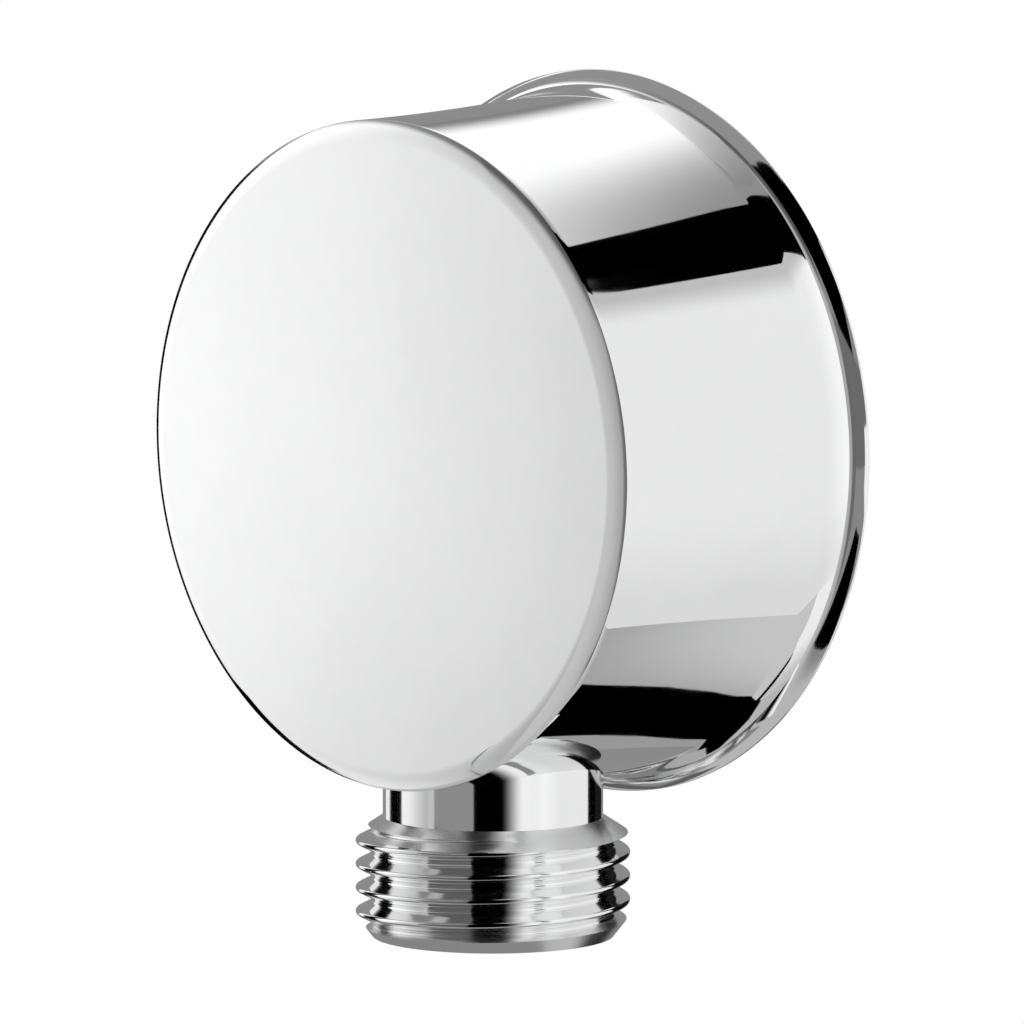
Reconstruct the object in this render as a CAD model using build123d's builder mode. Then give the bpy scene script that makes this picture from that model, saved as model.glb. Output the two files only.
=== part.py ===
from build123d import *
import os

# Wall outlet elbow: a hollow drum on the wall that turns the water down into a shower hose.
# Millimetres. The wall is the plane y = 0, the front faces -Y and the outlet points down, -Z.
# Threads are plain cylinders at their outer diameter.

# Drum, from the wall to the front: a crowned flange, a foot that flares to it, a barrel, a dished border
drum_depth = 24.3
flange_radius = 27.75
flange_crown_width = 1.1
flange_crown_radius = 1.85
flange_thickness = 1.15
flange_rim_height = 0.25
flange_back_break = 0.12
foot_height = 3.3
foot_flare = 0.5
barrel_flare = 0.77
face_border_width = 1.55
face_border_drop = 0.7
front_edge_break = 0.12

# Hollow back of the drum
front_wall = 3.0
side_wall = 2.6
boss_wall = 2.6
boss_setback = 1.5
pocket_floor_round = 1.5

# Waterway from the wall to the outlet
outlet_setback = 12.4
passage_radius = 5.0
chamber_radius = 8.0
chamber_end_gap = 1.5

# G 1/2 pipe thread, on the wall side of the inlet and on the hose side of the outlet
pipe_thread_radius = 10.4775

# Inlet nipple
inlet_reach = 12.0
inlet_end_chamfer = 1.2
inlet_root_radius = 11.0
inlet_bore_radius = 6.0
hex_across_flats = 12.4
hex_depth = 8.0

# Outlet nipple
outlet_drop = 37.7
hose_thread_length = 9.2
lead_in_height = 1.35
hose_end_inset = 1.25
hose_end_height = 1.6
neck_radius = 8.4
neck_seat_depth = 2.7
outlet_root_radius = 8.0
outlet_root_length = 6.0
pilot_radius = 7.2
pilot_length = 4.0
pilot_end_chamfer = 0.4
outlet_bore_radius = 6.75
outlet_bore_depth = 12.0
drill_point_height = 1.0
bore_mouth_chamfer = 0.4

# Seal groove on the outlet nipple's pilot
groove_depth = 1.2
groove_width = 1.7
groove_top_land = 1.1

# Fits
thread_clearance = 0.04
pilot_clearance = 0.05
seal_clearance = 0.02
end_gap = 0.3

# Worked out from the sizes above
drum_neck_radius = flange_radius - flange_crown_width
drum_foot_radius = drum_neck_radius - foot_flare
drum_front_radius = drum_foot_radius - barrel_flare
face_radius = drum_front_radius - face_border_width
barrel_front = drum_depth - face_border_drop
outlet_along_barrel = (barrel_front - outlet_setback) / (barrel_front - foot_height)
barrel_radius_at_outlet = drum_front_radius + barrel_flare * outlet_along_barrel**2
pocket_foot_radius = drum_foot_radius - side_wall
pocket_floor_radius = drum_front_radius - side_wall
inlet_boss_radius = inlet_root_radius + thread_clearance + boss_wall
outlet_boss_radius = neck_radius + thread_clearance + boss_wall
inlet_seat_setback = outlet_setback - passage_radius
chamber_end_setback = outlet_setback + passage_radius + chamber_end_gap
nipple_end_z = -outlet_drop
hose_thread_top_z = nipple_end_z + hose_thread_length
neck_seat_z = neck_seat_depth - barrel_radius_at_outlet
root_top_z = neck_seat_z + outlet_root_length
pilot_top_z = root_top_z + pilot_length
groove_top_z = pilot_top_z - groove_top_land
groove_bottom_z = groove_top_z - groove_width
groove_radius = pilot_radius - groove_depth
pilot_bore_radius = pilot_radius + pilot_clearance

# Planes: the wall, seen from the room side, and the upright section through the outlet
wall_plane = Plane.XZ
outlet_section = Plane.XZ.offset(outlet_setback)
outlet_axis = Axis((0, -outlet_setback, 0), (0, 0, 1))


def outlet_level(z):
    return Plane(origin=(0, -outlet_setback, z), x_dir=(1, 0, 0), z_dir=(0, 0, 1))


os.makedirs("parts", exist_ok=True)

# Space behind the drum, round the inlet boss and the outlet boss
with BuildPart() as pocket:
    with BuildSketch(Plane.XY):
        with BuildLine():
            Polyline(
                (0, 0),
                (pocket_foot_radius, 0),
                (pocket_floor_radius, front_wall - drum_depth),
                (0, front_wall - drum_depth),
                close=True,
            )
        make_face()
    revolve(axis=Axis.Y)
    with BuildSketch(wall_plane.offset(boss_setback)):
        Circle(inlet_boss_radius)
    extrude(amount=drum_depth, mode=Mode.SUBTRACT)
    with BuildSketch(outlet_level(0)):
        Circle(outlet_boss_radius)
        Rectangle(2 * outlet_boss_radius, drum_depth, align=(Align.CENTER, Align.MAX))
    extrude(amount=-drum_foot_radius, mode=Mode.SUBTRACT)
    fillet(pocket.edges().group_by(Axis.Y)[0], pocket_floor_round)

# Drum with its flange, pocket and waterway
with BuildPart() as body:
    with BuildSketch(Plane.XY) as drum_section:
        with BuildLine():
            face = Line((0, -drum_depth), (face_radius, -drum_depth))
            border = TangentArc(face @ 1, (drum_front_radius, -barrel_front), tangent=face % 1)
            barrel = TangentArc(border @ 1, (drum_foot_radius, -foot_height), tangent=(0, 1))
            foot = TangentArc(barrel @ 1, (drum_neck_radius, -flange_thickness), tangent=barrel % 1)
            crown = RadiusArc((flange_radius, -flange_rim_height), foot @ 1, flange_crown_radius)
            Polyline(
                crown @ 0,
                (flange_radius, -flange_back_break),
                (flange_radius - flange_back_break, 0),
                (0, 0),
                face @ 0,
            )
        make_face()
        front_edge = drum_section.vertices().sort_by_distance(border @ 1)[0]
        fillet(front_edge, front_edge_break)
    revolve(axis=Axis.Y)
    add(pocket.part, mode=Mode.SUBTRACT)
    with BuildSketch(wall_plane):
        Circle(inlet_root_radius + thread_clearance)
    extrude(amount=inlet_seat_setback, mode=Mode.SUBTRACT)
    with BuildSketch(wall_plane):
        Circle(chamber_radius)
    extrude(amount=chamber_end_setback, mode=Mode.SUBTRACT)
    with BuildSketch(outlet_level(0)):
        Circle(passage_radius)
    extrude(amount=nipple_end_z, mode=Mode.SUBTRACT)
    with BuildSketch(outlet_level(pilot_top_z + end_gap)):
        Circle(pilot_bore_radius)
    extrude(amount=nipple_end_z, mode=Mode.SUBTRACT)
    with BuildSketch(outlet_level(root_top_z + end_gap)):
        Circle(outlet_root_radius + thread_clearance)
    extrude(amount=nipple_end_z, mode=Mode.SUBTRACT)
    with BuildSketch(outlet_level(neck_seat_z)):
        Circle(neck_radius + thread_clearance)
    extrude(amount=nipple_end_z, mode=Mode.SUBTRACT)

# Nipple into the wall fitting, with a hexagon socket that faces the room
with BuildPart() as inlet_nipple:
    with BuildSketch(wall_plane.offset(inlet_seat_setback)):
        Circle(inlet_root_radius)
    extrude(amount=boss_setback - inlet_seat_setback)
    with BuildSketch(wall_plane.offset(boss_setback)):
        Circle(pipe_thread_radius)
    extrude(amount=-boss_setback - inlet_reach)
    wall_end = inlet_nipple.edges().filter_by(GeomType.CIRCLE).group_by(Axis.Y)[-1]
    chamfer(wall_end, inlet_end_chamfer)
    with BuildSketch(wall_plane.offset(inlet_seat_setback)):
        Circle(inlet_bore_radius)
    extrude(amount=-inlet_seat_setback - inlet_reach, mode=Mode.SUBTRACT)
    with BuildSketch(wall_plane.offset(inlet_seat_setback)):
        RegularPolygon(hex_across_flats / 2, 6, major_radius=False)
    extrude(amount=-hex_depth, mode=Mode.SUBTRACT)

# Nipple for the hose: pilot with its seal groove, root thread, neck and hose thread
with BuildPart() as outlet_nipple:
    with BuildSketch(outlet_section):
        with BuildLine():
            Polyline(
                (passage_radius, pilot_top_z),
                (pilot_radius - pilot_end_chamfer, pilot_top_z),
                (pilot_radius, pilot_top_z - pilot_end_chamfer),
                (pilot_radius, groove_top_z),
                (groove_radius, groove_top_z),
                (groove_radius, groove_bottom_z),
                (pilot_radius, groove_bottom_z),
                (pilot_radius, root_top_z),
                (outlet_root_radius, root_top_z),
                (outlet_root_radius, neck_seat_z),
                (neck_radius, neck_seat_z),
                (neck_radius, hose_thread_top_z),
                (pipe_thread_radius, hose_thread_top_z - lead_in_height),
                (pipe_thread_radius, nipple_end_z + hose_end_height),
                (pipe_thread_radius - hose_end_inset, nipple_end_z),
                (outlet_bore_radius + bore_mouth_chamfer, nipple_end_z),
                (outlet_bore_radius, nipple_end_z + bore_mouth_chamfer),
                (outlet_bore_radius, nipple_end_z + outlet_bore_depth),
                (passage_radius, nipple_end_z + outlet_bore_depth + drill_point_height),
                close=True,
            )
        make_face()
    revolve(axis=outlet_axis)

# Seal ring, as squeezed between its groove and the outlet boss
with BuildPart() as outlet_o_ring:
    with BuildSketch(outlet_section):
        with Locations(((groove_radius + pilot_bore_radius) / 2, (groove_top_z + groove_bottom_z) / 2)):
            Circle((pilot_bore_radius - groove_radius) / 2 - seal_clearance)
    revolve(axis=outlet_axis)

body.part.label = "body"
inlet_nipple.part.label = "inlet_nipple"
outlet_nipple.part.label = "outlet_nipple"
outlet_o_ring.part.label = "outlet_o_ring"

export_step(body.part, "parts/body.step")
export_step(inlet_nipple.part, "parts/inlet_nipple.step")
export_step(outlet_nipple.part, "parts/outlet_nipple.step")
export_step(outlet_o_ring.part, "parts/outlet_o_ring.step")
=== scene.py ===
import math
import bmesh
import bpy
from mathutils import Matrix, Vector


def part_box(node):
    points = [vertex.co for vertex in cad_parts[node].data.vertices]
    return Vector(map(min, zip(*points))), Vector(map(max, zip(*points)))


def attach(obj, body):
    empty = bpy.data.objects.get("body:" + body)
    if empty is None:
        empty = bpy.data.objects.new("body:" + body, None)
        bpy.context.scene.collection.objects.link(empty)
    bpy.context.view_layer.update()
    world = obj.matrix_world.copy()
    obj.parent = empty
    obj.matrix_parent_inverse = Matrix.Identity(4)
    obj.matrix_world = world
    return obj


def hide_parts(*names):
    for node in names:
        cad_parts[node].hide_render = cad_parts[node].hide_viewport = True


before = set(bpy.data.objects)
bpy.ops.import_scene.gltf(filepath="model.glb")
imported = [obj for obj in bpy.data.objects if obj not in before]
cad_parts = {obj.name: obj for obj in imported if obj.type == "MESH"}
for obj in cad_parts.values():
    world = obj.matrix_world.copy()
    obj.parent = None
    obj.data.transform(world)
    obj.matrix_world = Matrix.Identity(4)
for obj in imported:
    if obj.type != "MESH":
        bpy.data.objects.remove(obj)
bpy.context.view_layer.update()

mm = 0.001
mergeGap = 0.002 * mm
sharpAngle = math.radians(32)

bodyLow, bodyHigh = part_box("body")
outletLow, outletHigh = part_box("outlet_nipple")
inletLow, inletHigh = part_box("inlet_nipple")
outletAxis = Vector((0, (outletLow.y + outletHigh.y) / 2, 0))   # the hose side, pointing down
inletAxis = Vector((0, 0, 0))                                    # the wall side, along Y


# Modelling helpers

def pickOnly(piece):
    if bpy.context.mode != "OBJECT":
        bpy.ops.object.mode_set(mode="OBJECT")
    bpy.ops.object.select_all(action="DESELECT")
    if piece:
        piece.select_set(True)
        bpy.context.view_layer.objects.active = piece


def roundCorner(centre, radius, fromDegrees, toDegrees, steps):
    angles = [math.radians(fromDegrees + (toDegrees - fromDegrees) * i / steps) for i in range(steps + 1)]
    return [(centre[0] + radius * math.cos(a), centre[1] + radius * math.sin(a)) for a in angles]


def headingTo(start, end):
    return math.degrees(math.atan2(end[1] - start[1], end[0] - start[0]))


def headingAfter(start, end, heading):
    # where the arc that leaves start along heading points when it reaches end, in degrees
    return heading + 2 * (headingTo(start, end) - heading)


def tangentArc(start, end, heading, steps):
    # the points of that arc, without start
    turn = 2 * (headingTo(start, end) - heading)
    radius = math.dist(start, end) / (2 * math.sin(math.radians(turn / 2)))
    points = []
    for i in range(1, steps + 1):
        part = turn * i / steps
        reach = 2 * radius * math.sin(math.radians(part / 2))
        along = math.radians(heading + part / 2)
        points.append((start[0] + reach * math.cos(along), start[1] + reach * math.sin(along)))
    return points


def traceOutline(name, outline, place):
    # one vertex, extruded from point to point along the outline
    pickOnly(None)
    bpy.ops.mesh.primitive_plane_add(size=mm, location=place(outline[0]))
    piece = bpy.context.object
    piece.name = piece.data.name = name
    bpy.ops.object.mode_set(mode="EDIT")
    bpy.ops.mesh.select_mode(type="VERT")
    bpy.ops.mesh.merge(type="CENTER")
    for here, there in zip(outline, outline[1:]):
        bpy.ops.mesh.extrude_region_move(TRANSFORM_OT_translate={"value": place(there) - place(here)})
    bpy.ops.object.mode_set(mode="OBJECT")
    bpy.ops.object.transform_apply(location=True, rotation=True, scale=True)
    return piece


def closeMesh(piece):
    pickOnly(piece)
    bpy.ops.object.mode_set(mode="EDIT")
    bpy.ops.mesh.select_all(action="SELECT")
    bpy.ops.mesh.remove_doubles(threshold=mergeGap)
    bpy.ops.mesh.normals_make_consistent(inside=False)
    bpy.ops.object.mode_set(mode="OBJECT")


def spin(name, outline, steps, place, centre, axis):
    piece = traceOutline(name, outline, place)
    bpy.ops.object.mode_set(mode="EDIT")
    bpy.ops.mesh.select_all(action="SELECT")
    bpy.ops.mesh.spin(steps=steps, angle=math.tau, center=centre, axis=axis)
    closeMesh(piece)
    return piece


def spinAlongY(name, outline, steps):
    # outline points are (radius, y) in millimetres, about the inlet's axis
    return spin(name, outline, steps, lambda p: Vector((p[0], p[1], 0)) * mm, inletAxis, (0, 1, 0))


def spinAlongZ(name, outline, steps):
    # outline points are (radius, z) in millimetres, about the outlet's axis
    return spin(name, outline, steps, lambda p: outletAxis + Vector((p[0], 0, p[1])) * mm,
                outletAxis, (0, 0, 1))


def cutAway(piece, cutter):
    pickOnly(piece)
    cut = piece.modifiers.new("cut", "BOOLEAN")
    cut.operation = "DIFFERENCE"
    cut.solver = "MANIFOLD"
    cut.object = cutter
    bpy.ops.object.modifier_apply(modifier=cut.name)
    bpy.data.objects.remove(cutter)


def selectVertices(piece, wanted):
    # leaves edit mode on, with only the vertices chosen that stand where wanted says
    pickOnly(piece)
    bpy.ops.object.mode_set(mode="EDIT")
    bpy.ops.mesh.select_mode(type="VERT")
    bpy.ops.mesh.select_all(action="DESELECT")
    mesh = bmesh.from_edit_mesh(piece.data)
    for vertex in mesh.verts:
        vertex.select_set(wanted(vertex.co))
    mesh.select_flush(True)
    bmesh.update_edit_mesh(piece.data)


def smooth(piece):
    pickOnly(piece)
    bpy.ops.object.shade_smooth_by_angle(angle=sharpAngle)
    evened = piece.modifiers.new("evened", "WEIGHTED_NORMAL")
    evened.keep_sharp = True
    bpy.ops.object.modifier_apply(modifier=evened.name)


# G 1/2 pipe thread, cut with a coiled cutter of its own section
pipeThread = {
    "radius": 10.4775,      # over the crests
    "pitch": 1.8143,        # 14 to the inch
    "flankDegrees": 27.5,
    "depth": 1.1617,
    "roundRadius": 0.2491,  # crests and roots
    "crestLand": 0.05,      # left between two turns of the cutter
    "clear": 0.5,           # how far the cutter stands out of the bar
    "stepsPerTurn": 144,
    "arcSteps": 5,
}


def threadSection(thread):
    lean = 90 - thread["flankDegrees"]
    half = thread["pitch"] / 2
    small = thread["roundRadius"]
    outer = thread["radius"]
    rootCentre = (outer - thread["depth"] + small, 0)
    root = roundCorner(rootCentre, small, 180 - lean, 180 + lean, 2 * thread["arcSteps"])
    crest = roundCorner((outer - small, -half), small, lean, 0, thread["arcSteps"])
    crest = [(r, max(z, thread["crestLand"] / 2 - half)) for r, z in crest[:-1]]
    crest.append((outer, thread["crestLand"] / 2 - half))
    below = crest + [(outer + thread["clear"], thread["crestLand"] / 2 - half)]
    above = [(r, -z) for r, z in reversed(below)]
    return above + root + below


def threadCutter(thread, turns):
    # stands on the origin and climbs along Z
    section = threadSection(thread)
    cutter = traceOutline("threadCutter", section + section[:1], lambda p: Vector((p[0], 0, p[1])) * mm)
    closeMesh(cutter)
    coil = cutter.modifiers.new("coil", "SCREW")
    coil.axis = "Z"
    coil.angle = math.tau
    coil.screw_offset = thread["pitch"] * mm
    coil.iterations = turns
    coil.steps = coil.render_steps = thread["stepsPerTurn"]
    bpy.ops.object.modifier_apply(modifier=coil.name)
    bpy.ops.object.mode_set(mode="EDIT")
    bpy.ops.mesh.select_all(action="SELECT")
    bpy.ops.mesh.fill_holes(sides=0)
    closeMesh(cutter)
    return cutter


# Drum, with its flange, hollow back and waterway
drum = {
    "depth": -bodyLow.y / mm,
    "flangeRadius": bodyHigh.x / mm,
    "crownWidth": 1.1,          # of the flange, from its rim in to the valley at the drum's foot
    "crownRadius": 1.85,
    "flangeThickness": 1.15,
    "rimHeight": 0.25,
    "backBreak": 0.12,
    "footHeight": 3.3,          # below this the flare quickens towards the flange
    "footFlare": 0.5,
    "barrelFlare": 0.77,
    "borderWidth": 1.55,        # the face rolls off over this, then meets the barrel at an edge
    "borderDrop": 0.7,
    "edgeBreak": 0.045,
    "edgeSteps": 4,
    "frontWall": 3.0,
    "sideWall": 2.6,
    "floorRound": 1.5,
    "inletBossRadius": 13.64,
    "outletBossRadius": 11.04,
    "bossSetback": 1.5,
    "bossEdgeRound": 0.4,
    "bossEdgeSteps": 5,
    "inletSeatRadius": 11.04,
    "chamberRadius": 8.0,
    "chamberReach": 11.5,       # beyond the inlet's seat
    "passageRadius": 5.0,
    "fitGap": 0.04,             # round the outlet nipple's root and neck
    "pilotGap": 0.05,
    "endGap": 0.3,              # above the outlet nipple's steps
    "cutterClear": 4.0,         # how far the cutters stand out
    "insideSlack": 0.01,        # when the faces of the inside are picked
    "steps": 384,
    "boreSteps": 192,
    "arcSteps": 20,
}


def drumOutline(d):
    valley = (d["flangeRadius"] - d["crownWidth"], -d["flangeThickness"])
    foot = (valley[0] - d["footFlare"], -d["footHeight"])
    edge = (foot[0] - d["barrelFlare"], d["borderDrop"] - d["depth"])
    face = (edge[0] - d["borderWidth"], -d["depth"])
    rim = (d["flangeRadius"], -d["rimHeight"])
    outward, backward = 0, 90   # headings, over the face and along the barrel
    border = tangentArc(face, edge, outward, d["arcSteps"])
    soft = d["edgeBreak"]
    lean = headingAfter(face, edge, outward)
    slope = math.radians(lean)
    breakStart = (edge[0] - soft * math.cos(slope), edge[1] - soft * math.sin(slope))
    edgeBreak = tangentArc(breakStart, (edge[0], edge[1] + soft), lean, d["edgeSteps"])
    # the barrel starts straight, flares to its foot, then quicker into the valley at the flange
    barrel = tangentArc(edge, foot, backward, 2 * d["arcSteps"])
    quick = tangentArc(foot, valley, headingAfter(edge, foot, backward), d["arcSteps"])
    bulge = math.degrees(math.asin(math.dist(valley, rim) / 2 / d["crownRadius"]))
    crown = tangentArc(valley, rim, headingTo(valley, rim) - bulge, d["arcSteps"])
    back = d["backBreak"]
    return ([(0, -d["depth"]), (face[0] / 2, -d["depth"]), face] + border[:-1] + [breakStart] + edgeBreak
            + barrel + quick + crown + [(d["flangeRadius"], -back), (d["flangeRadius"] - back, 0), (0, 0)])


def pocketRadius(d, y):
    # the pocket's wall keeps inside the barrel, from the back to its floor
    foot = d["flangeRadius"] - d["crownWidth"] - d["footFlare"] - d["sideWall"]
    return foot + d["barrelFlare"] * y / (d["depth"] - d["frontWall"])


def makePocket(d):
    floorY = d["frontWall"] - d["depth"]
    small = d["floorRound"]
    clear = d["cutterClear"]
    cornerRadius = pocketRadius(d, floorY + small) - small
    pocket = spinAlongY("pocket", [(0, clear), (pocketRadius(d, clear), clear)]
                        + roundCorner((cornerRadius, floorY + small), small, 0, -90, d["arcSteps"])
                        + [(0, floorY)], d["steps"])
    # the inlet boss, flared where it grows out of the floor
    bossRadius = d["inletBossRadius"]
    edge = d["bossEdgeRound"]
    topY = -d["bossSetback"]
    below = floorY - clear
    rounded = roundCorner((bossRadius - edge, topY - edge), edge, 90, 0, d["bossEdgeSteps"])
    flared = roundCorner((bossRadius + small, floorY + small), small, 180, 270, d["arcSteps"] // 2)
    inletBoss = spinAlongY("inletBoss", [(0, topY)] + rounded + flared
                           + [(bossRadius + small, below), (0, below)], d["steps"] // 2)
    cutAway(pocket, inletBoss)
    # the outlet boss: half round towards the wall, straight towards the front
    pickOnly(None)
    bossDrop = (d["flangeRadius"] + clear) * mm
    bpy.ops.mesh.primitive_cylinder_add(
        vertices=d["steps"] // 2, radius=d["outletBossRadius"] * mm, depth=bossDrop,
        location=outletAxis - Vector((0, 0, bossDrop / 2)))
    outletBoss = bpy.context.object
    bpy.ops.object.transform_apply(location=True)
    selectVertices(outletBoss, lambda place: place.y < outletAxis.y - mergeGap)
    bpy.ops.transform.resize(value=(1, 0, 1), center_override=(0, below * mm, 0))
    closeMesh(outletBoss)
    cutAway(pocket, outletBoss)
    return pocket


def makeDrum(d, n):
    piece = spinAlongY("bodyShell", drumOutline(d), d["steps"])
    print("drum turned:", len(piece.data.polygons), "faces")
    cutAway(piece, makePocket(d))
    print("pocket cut:", len(piece.data.polygons), "faces")
    clear = d["cutterClear"]
    seatY = inletLow.y / mm
    seat = d["inletSeatRadius"]
    chamber = d["chamberRadius"]
    chamberY = seatY - d["chamberReach"]
    inletBore = spinAlongY("inletBore", [
        (0, clear), (seat, clear), (seat, seatY), (chamber, seatY), (chamber, chamberY),
        (0, chamberY)], d["boreSteps"])
    cutAway(piece, inletBore)
    passage = d["passageRadius"]
    pilot = n["pilotRadius"] + d["pilotGap"]
    root = n["rootRadius"] + d["fitGap"]
    neck = n["neckRadius"] + d["fitGap"]
    pilotZ = n["topZ"] + d["endGap"]
    rootZ = pilotZ - n["pilotLength"]
    neckZ = rootZ - d["endGap"] - n["rootLength"]
    belowZ = n["endZ"] - clear
    outletBore = spinAlongZ("outletBore", [
        (0, 0), (passage, 0), (passage, pilotZ), (pilot, pilotZ), (pilot, rootZ), (root, rootZ),
        (root, neckZ), (neck, neckZ), (neck, belowZ), (0, belowZ)], d["boreSteps"])
    cutAway(piece, outletBore)
    print("waterway cut:", len(piece.data.polygons), "faces")
    smooth(piece)
    return piece


# Outlet nipple, from the seal's pilot down to the hose thread
outletNipple = {
    "endZ": outletLow.z / mm,
    "topZ": outletHigh.z / mm,
    "pilotRadius": 7.2,
    "pilotLength": 4.0,
    "pilotChamfer": 0.4,
    "grooveTop": 1.1,
    "grooveWidth": 1.7,
    "grooveRadius": 6.0,
    "rootRadius": 8.0,
    "rootLength": 6.0,
    "neckRadius": 8.4,
    "threadLength": 9.2,
    "leadInHeight": 1.35,
    "endInset": 1.25,
    "endHeight": 1.6,
    "boreRadius": 6.75,
    "boreMouth": 0.4,
    "boreDepth": 12.0,
    "drillPoint": 1.0,
    "passageRadius": 5.0,
    "threadTurns": 8,
    "threadRunIn": 2,       # turns of the cutter below the end
    "threadPhase": 35.0,    # degrees
    "steps": 144,
}


def makeOutletNipple(n, thread):
    endZ = n["endZ"]
    topZ = n["topZ"]
    threadZ = endZ + n["threadLength"]
    grooveZ = topZ - n["grooveTop"]
    grooveEndZ = grooveZ - n["grooveWidth"]
    rootZ = topZ - n["pilotLength"]
    seatZ = rootZ - n["rootLength"]
    boreZ = endZ + n["boreDepth"]
    pilot = n["pilotRadius"]
    big = thread["radius"]
    outline = [
        (n["passageRadius"], topZ), (pilot - n["pilotChamfer"], topZ), (pilot, topZ - n["pilotChamfer"]),
        (pilot, grooveZ), (n["grooveRadius"], grooveZ), (n["grooveRadius"], grooveEndZ), (pilot, grooveEndZ),
        (pilot, rootZ), (n["rootRadius"], rootZ), (n["rootRadius"], seatZ), (n["neckRadius"], seatZ),
        (n["neckRadius"], threadZ), (big, threadZ - n["leadInHeight"]), (big, endZ + n["endHeight"]),
        (big - n["endInset"], endZ), (n["boreRadius"] + n["boreMouth"], endZ),
        (n["boreRadius"], endZ + n["boreMouth"]), (n["boreRadius"], boreZ),
        (n["passageRadius"], boreZ + n["drillPoint"]), (n["passageRadius"], topZ)]
    piece = spinAlongZ("outletNipple", outline, n["steps"])
    cutter = threadCutter(thread, n["threadTurns"])
    cutter.location = outletAxis + Vector((0, 0, (endZ - n["threadRunIn"] * thread["pitch"]) * mm))
    cutter.rotation_euler.z = math.radians(n["threadPhase"])
    cutAway(piece, cutter)
    print("hose thread cut:", len(piece.data.polygons), "faces")
    smooth(piece)
    return piece


# Inlet nipple, with a hexagon socket that faces the room
inletNipple = {
    "reach": inletHigh.y / mm,
    "rootY": inletLow.y / mm,
    "rootRadius": 11.0,
    "shoulderY": -drum["bossSetback"],
    "endChamfer": 1.2,
    "boreRadius": 6.0,
    "hexFlats": 12.4,
    "hexDepth": 8.0,
    "threadStart": 2.2,     # from the shoulder to the cutter's first turn
    "threadTurns": 7,
    "steps": 144,
}


def makeInletNipple(n, thread):
    big = thread["radius"]
    reach = n["reach"]
    outline = [
        (n["boreRadius"], n["rootY"]), (n["rootRadius"], n["rootY"]), (n["rootRadius"], n["shoulderY"]),
        (big, n["shoulderY"]), (big, reach - n["endChamfer"]), (big - n["endChamfer"], reach),
        (n["boreRadius"], reach), (n["boreRadius"], n["rootY"])]
    piece = spinAlongY("inletNipple", outline, n["steps"])
    cutter = threadCutter(thread, n["threadTurns"])
    cutter.rotation_euler.x = -math.pi / 2
    cutter.location = Vector((0, n["shoulderY"] + n["threadStart"], 0)) * mm
    cutAway(piece, cutter)
    pickOnly(None)
    corner = n["hexFlats"] / math.sqrt(3)
    bpy.ops.mesh.primitive_cylinder_add(
        vertices=6, radius=corner * mm, depth=n["hexDepth"] * 2 * mm,
        location=(0, n["rootY"] * mm, 0), rotation=(math.pi / 2, 0, 0))
    cutAway(piece, bpy.context.object)
    print("inlet thread cut:", len(piece.data.polygons), "faces")
    smooth(piece)
    return piece


# Materials: each effect is a node group that gives values, masks and normals to a plain shader

def newGroup(name, inputs, outputs):
    group = bpy.data.node_groups.new(name, "ShaderNodeTree")
    for label, kind in inputs:
        group.interface.new_socket(name=label, in_out="INPUT", socket_type="NodeSocket" + kind)
    for label, kind in outputs:
        group.interface.new_socket(name=label, in_out="OUTPUT", socket_type="NodeSocket" + kind)
    return group, group.nodes.new("NodeGroupInput").outputs, group.nodes.new("NodeGroupOutput").inputs


def addNode(tree, kind, values=(), **settings):
    # values are socket names or places with their values: a constant is set, another node's socket is linked
    made = tree.nodes.new("ShaderNode" + kind)
    for key, value in settings.items():
        setattr(made, key, value)
    for key, value in dict(values).items():
        if isinstance(value, bpy.types.NodeSocket):
            tree.links.new(value, made.inputs[key])
        else:
            made.inputs[key].default_value = value
    return made


def calc(tree, operation, first, second):
    return addNode(tree, "Math", {0: first, 1: second}, operation=operation).outputs[0]


def ramp(tree, value, start, end, top):
    # nothing up to start, then a straight rise to top at end
    return addNode(tree, "MapRange", {
        "Value": value, "From Min": start, "From Max": end, "To Min": 0, "To Max": top}).outputs["Result"]


# Haze: broad patches with fine specks in them, as handling and water leave on plating
hazeLook = {
    "detail": 3.0,
    "fineness": 11.0,       # of the specks, against the patches
    "fineDetail": 2.0,
    "fineShare": 0.3,
    "clear": 0.36,          # noise below this leaves the metal clear
    "full": 0.66,
}


def makeHaze(h):
    group, given, result = newGroup(
        "hazePatches", [("Place", "Vector"), ("Scale", "Float"), ("Low", "Float"), ("High", "Float")],
        [("Mask", "Float"), ("Roughness", "Float")])
    fineScale = calc(group, "MULTIPLY", given["Scale"], h["fineness"])
    broad = addNode(group, "TexNoise", {
        "Vector": given["Place"], "Scale": given["Scale"], "Detail": h["detail"]})
    fine = addNode(group, "TexNoise", {
        "Vector": given["Place"], "Scale": fineScale, "Detail": h["fineDetail"]})
    both = addNode(group, "Mix", {
        "Factor": h["fineShare"], "A": broad.outputs["Fac"], "B": fine.outputs["Fac"]})
    mask = ramp(group, both.outputs["Result"], h["clear"], h["full"], 1)
    rough = addNode(group, "MapRange", {"Value": mask, "To Min": given["Low"], "To Max": given["High"]})
    group.links.new(mask, result["Mask"])
    group.links.new(rough.outputs["Result"], result["Roughness"])
    return group


def makeGrain():
    # an uneven skin: slow waves under plating, or the grain of a casting
    group, given, result = newGroup(
        "unevenSkin", [("Place", "Vector"), ("Scale", "Float"), ("Height", "Float")],
        [("Mask", "Float"), ("Normal", "Vector")])
    noise = addNode(group, "TexNoise", {"Vector": given["Place"], "Scale": given["Scale"], "Detail": 2.0})
    bump = addNode(group, "Bump", {"Height": noise.outputs["Fac"], "Distance": given["Height"]})
    group.links.new(noise.outputs["Fac"], result["Mask"])
    group.links.new(bump.outputs["Normal"], result["Normal"])
    return group


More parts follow.
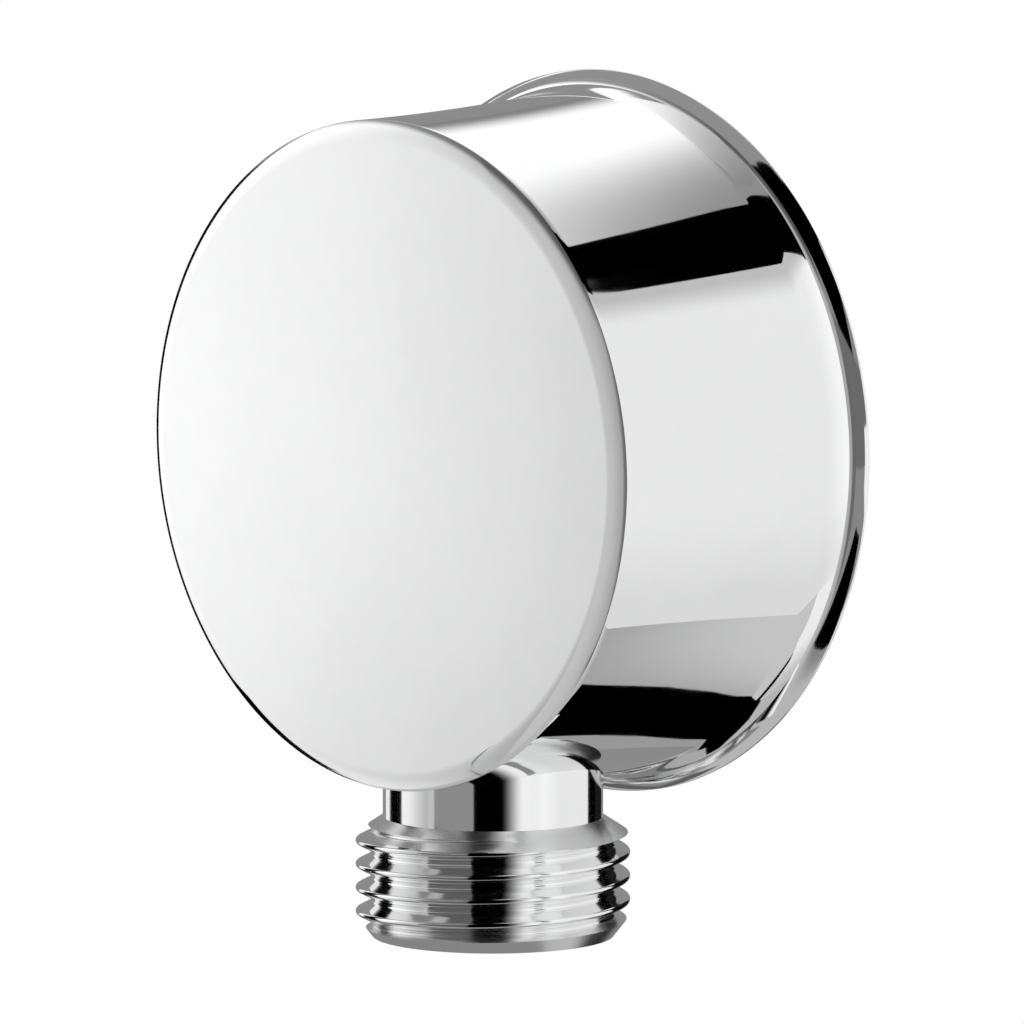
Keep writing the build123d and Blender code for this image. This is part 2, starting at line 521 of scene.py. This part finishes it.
def makeTurning():
    # rings left by a lathe about an axis, along it and across its end faces
    group, given, result = newGroup(
        "turningLines", [("Place", "Vector"), ("Centre", "Vector"), ("Axis", "Vector"), ("Spacing", "Float"),
                         ("Height", "Float")],
        [("Mask", "Float"), ("Normal", "Vector")])
    out = addNode(group, "VectorMath", {0: given["Place"], 1: given["Centre"]}, operation="SUBTRACT")
    along = addNode(group, "VectorMath", {0: out.outputs[0], 1: given["Axis"]}, operation="DOT_PRODUCT")
    across = addNode(group, "VectorMath", {0: out.outputs[0], 1: given["Axis"]}, operation="CROSS_PRODUCT")
    radius = addNode(group, "VectorMath", {0: across.outputs[0]}, operation="LENGTH")
    path = calc(group, "ADD", along.outputs["Value"], radius.outputs["Value"])
    turns = calc(group, "DIVIDE", path, given["Spacing"])
    lines = addNode(group, "TexNoise", {"W": turns, "Scale": 1.0, "Detail": 3.0}, noise_dimensions="1D")
    bump = addNode(group, "Bump", {"Height": lines.outputs["Fac"], "Distance": given["Height"]})
    group.links.new(lines.outputs["Fac"], result["Mask"])
    group.links.new(bump.outputs["Normal"], result["Normal"])
    return group


hazePatches = makeHaze(hazeLook)
unevenSkin = makeGrain()
turningLines = makeTurning()


def newMaterial(name, metallic):
    material = bpy.data.materials.new(name)
    material.use_nodes = True
    shader = material.node_tree.nodes["Principled BSDF"]
    shader.inputs["Metallic"].default_value = metallic
    place = addNode(material.node_tree, "TexCoord").outputs["Object"]
    return material, material.node_tree, shader.inputs, place


def blend(tree, mask, first, second):
    mixed = addNode(tree, "Mix", {0: mask, 6: (*first, 1), 7: (*second, 1)}, data_type="RGBA")
    return mixed.outputs[2]


# Finishes: two tones and two roughnesses with haze between them, over an uneven skin or over turning lines
frontRadius = drum["flangeRadius"] - drum["crownWidth"] - drum["footFlare"] - drum["barrelFlare"]
drumChrome = {
    "tones": ((0.915, 0.917, 0.92), (0.885, 0.887, 0.89)), "metallic": 1.0,
    "hazeScale": 55.0, "polish": (0.012, 0.04),
    "grainScale": 210.0, "relief": 0.0012 * mm,
    "rim": ((frontRadius - drum["borderWidth"]) * mm, frontRadius * mm,
            (drum["borderDrop"] - drum["depth"]) * mm),
    "rimSoftness": 0.08, "rimEase": 0.4, "frontNormal": (0, -1, 0),
    "valley": (-drum["footHeight"] * mm, -drum["flangeThickness"] * mm), "valleySoftness": 0.03,
}
threadTop = outletNipple["endZ"] + outletNipple["threadLength"]
nippleChrome = {
    "tones": ((0.915, 0.917, 0.92), (0.885, 0.887, 0.89)), "metallic": 1.0,
    "hazeScale": 55.0, "polish": (0.07, 0.11),
    "axis": (outletAxis, (0, 0, 1)), "lineSpacing": 0.16 * mm, "relief": 0.0006 * mm,
    "cones": (((threadTop - outletNipple["leadInHeight"]) * mm, threadTop * mm),
              (outletNipple["endZ"] * mm, (outletNipple["endZ"] + outletNipple["endHeight"]) * mm)),
    "coneSoftness": 0.16,
}
castInside = {
    "tones": ((0.78, 0.78, 0.79), (0.58, 0.58, 0.59)), "metallic": 0.8,
    "hazeScale": 90.0, "polish": (0.26, 0.46),
    "grainScale": 2600.0, "relief": 0.03 * mm,
}
turnedBrass = {
    "tones": ((0.80, 0.60, 0.29), (0.60, 0.40, 0.16)), "metallic": 1.0,
    "hazeScale": 110.0, "polish": (0.16, 0.34),
    "axis": (inletAxis, (0, 1, 0)), "lineSpacing": 0.2 * mm, "relief": 0.004 * mm,
}
sealRubber = {
    "tones": ((0.012, 0.012, 0.013), (0.035, 0.034, 0.033)), "metallic": 0.0,
    "hazeScale": 400.0, "polish": (0.45, 0.7),
    "grainScale": 5200.0, "relief": 0.01 * mm,
}


def dullCones(tree, place, roughness, f):
    # the cones at the thread's two ends are left as they were turned
    height = addNode(tree, "SeparateXYZ", {0: place}).outputs["Z"]
    for foot, top in f["cones"]:
        below = calc(tree, "LESS_THAN", height, top)
        above = calc(tree, "GREATER_THAN", height, foot)
        onCone = calc(tree, "MULTIPLY", below, above)
        dulled = calc(tree, "MULTIPLY", onCone, f["coneSoftness"])
        roughness = calc(tree, "ADD", roughness, dulled)
    return roughness


def easeBorder(tree, place, roughness, normal, f):
    # the dished border is buffed softer towards its edge, and its roll reads flatter
    inner, outer, back = f["rim"]
    spot = addNode(tree, "SeparateXYZ", {0: place}).outputs
    flat = addNode(tree, "CombineXYZ", {"X": spot["X"], "Z": spot["Z"]}).outputs[0]
    radius = addNode(tree, "VectorMath", {0: flat}, operation="LENGTH").outputs["Value"]
    onBorder = calc(tree, "LESS_THAN", spot["Y"], back)
    soft = ramp(tree, radius, inner, outer, f["rimSoftness"])
    roughness = calc(tree, "ADD", roughness, calc(tree, "MULTIPLY", soft, onBorder))
    ease = calc(tree, "MULTIPLY", onBorder, f["rimEase"])
    eased = addNode(tree, "Mix", {0: ease, 4: normal, 5: f["frontNormal"]}, data_type="VECTOR").outputs[1]
    normal = addNode(tree, "VectorMath", {0: eased}, operation="NORMALIZE").outputs[0]
    start, end = f["valley"]    # the polish does not reach down to the flange either
    dulled = ramp(tree, spot["Y"], start, end, f["valleySoftness"])
    return calc(tree, "ADD", roughness, dulled), normal


def makeFinish(name, f):
    material, tree, shader, place = newMaterial(name, f["metallic"])
    low, high = f["polish"]
    haze = addNode(tree, "Group", {
        "Place": place, "Scale": f["hazeScale"], "Low": low, "High": high}, node_tree=hazePatches).outputs
    if "axis" in f:
        centre, axis = f["axis"]
        skin = addNode(tree, "Group", {
            "Place": place, "Centre": centre, "Axis": axis, "Spacing": f["lineSpacing"],
            "Height": f["relief"]}, node_tree=turningLines).outputs
    else:
        skin = addNode(tree, "Group", {
            "Place": place, "Scale": f["grainScale"], "Height": f["relief"]}, node_tree=unevenSkin).outputs
    roughness = haze["Roughness"]
    normal = skin["Normal"]
    if "cones" in f:
        roughness = dullCones(tree, place, roughness, f)
    if "rim" in f:
        roughness, normal = easeBorder(tree, place, roughness, normal, f)
    tree.links.new(blend(tree, haze["Mask"], *f["tones"]), shader["Base Color"])
    tree.links.new(roughness, shader["Roughness"])
    tree.links.new(normal, shader["Normal"])
    return material


def dress(piece, node, material):
    piece.data.materials.clear()
    piece.data.materials.append(material)
    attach(piece, "root")
    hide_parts(node)


def dullInside(piece, d, material):
    # the hollow back and the waterway, inside the pocket's own wall
    piece.data.materials.append(material)
    slack = d["insideSlack"]
    reach = d["depth"] - d["frontWall"] + slack
    selectVertices(piece, lambda place: place.y > -reach * mm and math.hypot(place.x, place.z)
                   < (pocketRadius(d, place.y / mm) + slack) * mm)
    piece.active_material_index = 1
    bpy.ops.object.material_slot_assign()
    bpy.ops.object.mode_set(mode="OBJECT")


bodyShell = makeDrum(drum, outletNipple)
dress(bodyShell, "body", makeFinish("polishedChrome", drumChrome))
dullInside(bodyShell, drum, makeFinish("castInside", castInside))
dress(makeOutletNipple(outletNipple, pipeThread), "outlet_nipple",
      makeFinish("turnedChrome", nippleChrome))
dress(makeInletNipple(inletNipple, pipeThread), "inlet_nipple",
      makeFinish("turnedBrass", turnedBrass))
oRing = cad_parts["outlet_o_ring"]
oRing.data.materials.clear()
oRing.data.materials.append(makeFinish("sealRubber", sealRubber))
print("pieces dressed")


# Camera, as fitted to the outlines in the photograph
view = {
    "azimuth": 45.151,      # degrees
    "elevation": 7.072,
    "distance": 900.0,
    "lens": 416.58,
    "sensor": 36,
    "centre": (0, -12.135, 0),
    "right": 1.264,         # from that centre to the middle of the picture
    "down": 5.20,
    "clip": (0.05, 50),     # metres
}


def aimCamera(v):
    turn = math.radians(v["azimuth"])
    rise = math.radians(v["elevation"])
    back = Vector((math.sin(turn) * math.cos(rise), -math.cos(turn) * math.cos(rise), math.sin(rise)))
    right = Vector((math.cos(turn), math.sin(turn), 0))
    up = back.cross(right)
    aim = Vector(v["centre"]) + right * v["right"] - up * v["down"]
    camera = bpy.data.objects.new("camera", bpy.data.cameras.new("camera"))
    bpy.context.scene.collection.objects.link(camera)
    camera.data.sensor_width = v["sensor"]
    camera.data.lens = v["lens"]
    camera.data.clip_start, camera.data.clip_end = v["clip"]
    camera.location = (aim + back * v["distance"]) * mm
    camera.rotation_euler = Matrix((right, up, back)).transposed().to_euler()
    bpy.context.scene.camera = camera


aimCamera(view)

# Studio: cards stand square to the camera, and places are (right, away, up) in mm from the drum's axis
studio = {
    "right": 158, "left": -158,
    "top": 150, "bottom": -148,
    "back": 150, "front": -420,
    "sky": 600, "ground": -600,
}


def studioPoint(right, away, up):
    turn = math.radians(view["azimuth"])
    return (Vector((math.cos(turn), math.sin(turn), 0)) * right
            + Vector((-math.sin(turn), math.cos(turn), 0)) * away + Vector((0, 0, up))) * mm


def glowMaterial(name, glow, fades):
    # a fade is (direction, from, to, share): the glow changes to that share of itself on the way
    material = bpy.data.materials.new(name)
    material.use_nodes = True
    tree = material.node_tree
    tree.nodes.clear()
    place = addNode(tree, "TexCoord").outputs["Object"]
    strength = addNode(tree, "Value").outputs[0]
    strength.default_value = glow
    for direction, start, end, share in fades:
        along = addNode(tree, "VectorMath", {0: place, 1: studioPoint(*direction) / mm},
                        operation="DOT_PRODUCT").outputs["Value"]
        fade = addNode(tree, "MapRange", {
            "Value": along, "From Min": start * mm, "From Max": end * mm, "To Min": 1, "To Max": share},
            interpolation_type="SMOOTHSTEP").outputs["Result"]
        strength = calc(tree, "MULTIPLY", strength, fade)
    light = addNode(tree, "Emission", {"Strength": strength})
    addNode(tree, "OutputMaterial", {"Surface": light.outputs["Emission"]})
    return material


rightward, away, upward = (1, 0, 0), (0, 1, 0), (0, 0, 1)


def addCard(name, corners, glow, fades=()):
    # corners in order as (right, away, up)
    pickOnly(None)
    bpy.ops.mesh.primitive_circle_add(vertices=len(corners), radius=1, fill_type="NGON")
    card = bpy.context.object
    card.name = card.data.name = name
    for vertex, corner in zip(card.data.vertices, corners):
        vertex.co = studioPoint(*corner)
    card.data.materials.append(glowMaterial(name, glow, fades))
    card.visible_camera = False


def lying(up, corners):
    # corners as (right, away)
    return [(right, far, up) for right, far in corners]


def standing(side, corners):
    # corners as (away, up)
    return [(side, far, up) for far, up in corners]


def level(up, rightFrom, rightTo, awayFrom, awayTo):
    return lying(up, [(rightFrom, awayFrom), (rightTo, awayFrom), (rightTo, awayTo), (rightFrom, awayTo)])


def upright(side, awayFrom, awayTo, low, high):
    return standing(side, [(awayFrom, low), (awayTo, low), (awayTo, high), (awayFrom, high)])


def across(far, rightFrom, rightTo, low, high):
    return [(rightFrom, far, low), (rightTo, far, low), (rightTo, far, high), (rightFrom, far, high)]


s = studio

# right side and overhead
addCard("rightPanel", standing(s["right"], [
    (-150, -148), (74, -146), (74, 175), (27, 152), (20, 142), (13, 137), (4, 147), (-8, 163), (-16, 176),
    (-150, 262)]),
    0.9, [((0, 0.707, 0.707), 66, 100, 0.62), (upward, -30, -130, 0.85), (away, -45, -140, 1.15)])
addCard("rightLow", upright(s["right"], -434, -150, -110, 15), 0.95)
addCard("rightBackGap", upright(s["right"], 74, s["back"], s["bottom"], s["top"]), 0.0)
addCard("skyPanel", level(s["sky"], -1500, 1500, -700, 1600), 1.1, [((0.5, 0.866, 0), 630, 415, 0.27)])
addCard("skyFoot", lying(s["sky"] - 10, [
    (300, 200), (262, 330), (230, 430), (200, 490), (150, 540), (100, 590), (0, 690), (-40, 730), (-40, 180),
    (60, 40), (150, -20), (240, 60)]),
    1.05, [((-0.786, 0.619, 0), 450, -200, 0.24)])
addCard("skyGap", lying(s["sky"] - 1, [
    (371, 174), (423, 254), (504, 286), (1500, 680), (1500, -700), (330, -700), (330, 110)]), 0.0)
addCard("topGap", lying(s["top"], [
    (95, 40), (81, 19), (57, -25), (15, -40), (-25, -62), (-85, -92), (-160, -112), (-160, -434),
    (100, -434), (104, -71), (135, -14), (150, 5), (110, 38)]), 0.0)

# behind, on the left and towards the camera
addCard("backWall", across(s["back"], -105, 62, s["bottom"], 100), 0.27)
addCard("backPanel", across(s["back"] - 1, -10, 70, 70, s["top"]), 1.1, [(upward, 106, 74, 0.22)])
addCard("backGap", across(s["back"], 62, s["right"], s["bottom"], 82), 0.01)
addCard("leftBackStrip", across(s["back"], s["left"], -105, s["bottom"], 70), 0.95)
addCard("leftPanel", upright(s["left"], -62, 61, s["bottom"], s["top"]), 1.166,
        [(away, 30, -70, 0.5), (upward, -12, -75, 0.75), (upward, 80, 115, 0.28)])
addCard("leftGap", upright(s["left"], 61, 133, s["bottom"], 60), 0.0)
addCard("leftFront", upright(s["left"], -215, -62, s["bottom"], s["top"]), 0.58,
        [(away, -62, -215, 0.72), (upward, 60, 110, 0.2)])
addCard("leftFar", upright(s["left"], s["front"], -215, s["bottom"], 55), 0.42, [(away, -200, -255, 0.36)])
addCard("frontWall", across(s["front"], -300, 300, -60, s["top"]), 0.16)

# below
addCard("floorBright", lying(s["bottom"], [
    (62, -85), (75, -125), (185, -125), (185, -75), (158, -58), (127, -38), (110, -19), (89, -10), (75, 11),
    (65, 30), (62, 26)]),
    0.92, [(rightward, 105, 62, 0.62)])
addCard("floorNear", lying(s["bottom"], [
    (-300, -226), (-134, -158), (-60, -138), (-10, -121), (30, -100), (62, -85), (62, 26), (44, 31),
    (28, 48), (10, 60), (-300, 60)]),
    0.5, [((-0.387, 0.922, 0), -60, -106, 0.5)])
addCard("floorLeft", lying(s["bottom"], [(-60, 60), (10, 60), (30, 92), (34, 300), (-60, 300)]), 0.42)
addCard("floorFarLeft", level(s["bottom"] - 1, -300, -60, 50, 135), 0.6)
addCard("floorFront", lying(s["bottom"], [
    (-134, -160), (-60, -140), (-10, -123), (30, -102), (62, -87), (75, -127), (120, -290), (9, -380),
    (-100, -240)]), 0.0)
addCard("groundPanel", lying(s["ground"], [
    (268, 235), (331, 368), (350, 356), (384, 344), (430, 345), (900, 300), (900, -300), (430, -130),
    (400, -40), (352, 55)]),
    0.6, [((0.444, 0.896, 0), 405, 505, 0.65)])
addCard("groundBack", lying(s["ground"], [
    (110, 560), (173, 620), (195, 649), (216, 616), (237, 595), (330, 560), (330, 1500), (110, 1500)]), 0.34)
addCard("groundGap", level(s["ground"] - 2, -100, 1500, -300, 1600), 0.0)

# for the outlet nipple alone: two that meet in front of it, then its left edge, its end and its cones
hose = {"low": -45, "high": -24.5, "leftEnd": (-33.5, -25.7), "meet": (-12.8, -24), "rightEnd": (0, -24)}


def hoseCard(leftEnd, rightEnd):
    return [(*leftEnd, hose["low"]), (*rightEnd, hose["low"]),
            (*rightEnd, hose["high"]), (*leftEnd, hose["high"])]


addCard("nippleShade", hoseCard(hose["meet"], hose["rightEnd"]), 0.97, [(rightward, -1.8, -7, 0)])
addCard("nippleGrey", hoseCard(hose["leftEnd"], hose["meet"]), 0.28, [((-0.075, 0, 1), -28.7, -30, 0.45)])
addCard("nippleSideShade", upright(-60, 4, 14, -52, -31), 0.0)
addCard("nippleEndShade", level(-44, -30, -2, -21.5, 5), 0.25)
addCard("coneShade", level(s["bottom"] + 2, -95, -18, 12, 100), 0.12)
addCard("coneBackShade", across(s["back"] - 2, s["left"], -70, s["bottom"], -85), 0.05)

# Floor: plain and pale, under the cards, and for the camera alone
floor = {"up": -160, "reach": 4000, "glow": 1.0}


def makeFloor(f):
    addCard("paleFloor", level(f["up"], -f["reach"], f["reach"], -f["reach"], f["reach"]), f["glow"])
    piece = bpy.data.objects["paleFloor"]
    piece.visible_camera = True
    piece.visible_glossy = piece.visible_diffuse = False


makeFloor(floor)

# Room: white where the camera looks past everything, grey where the metal mirrors it
room = {"white": 1.0, "grey": 0.26}


def makeRoom(r):
    world = bpy.data.worlds.new("room")
    bpy.context.scene.world = world
    world.use_nodes = True
    tree = world.node_tree
    rays = addNode(tree, "LightPath")
    strength = addNode(tree, "MapRange", {
        "Value": rays.outputs["Is Camera Ray"], "To Min": r["grey"], "To Max": r["white"]})
    background = tree.nodes["Background"].inputs
    background["Color"].default_value = (1, 1, 1, 1)
    tree.links.new(strength.outputs["Result"], background["Strength"])


makeRoom(room)
bpy.context.scene.view_settings.view_transform = "Standard"
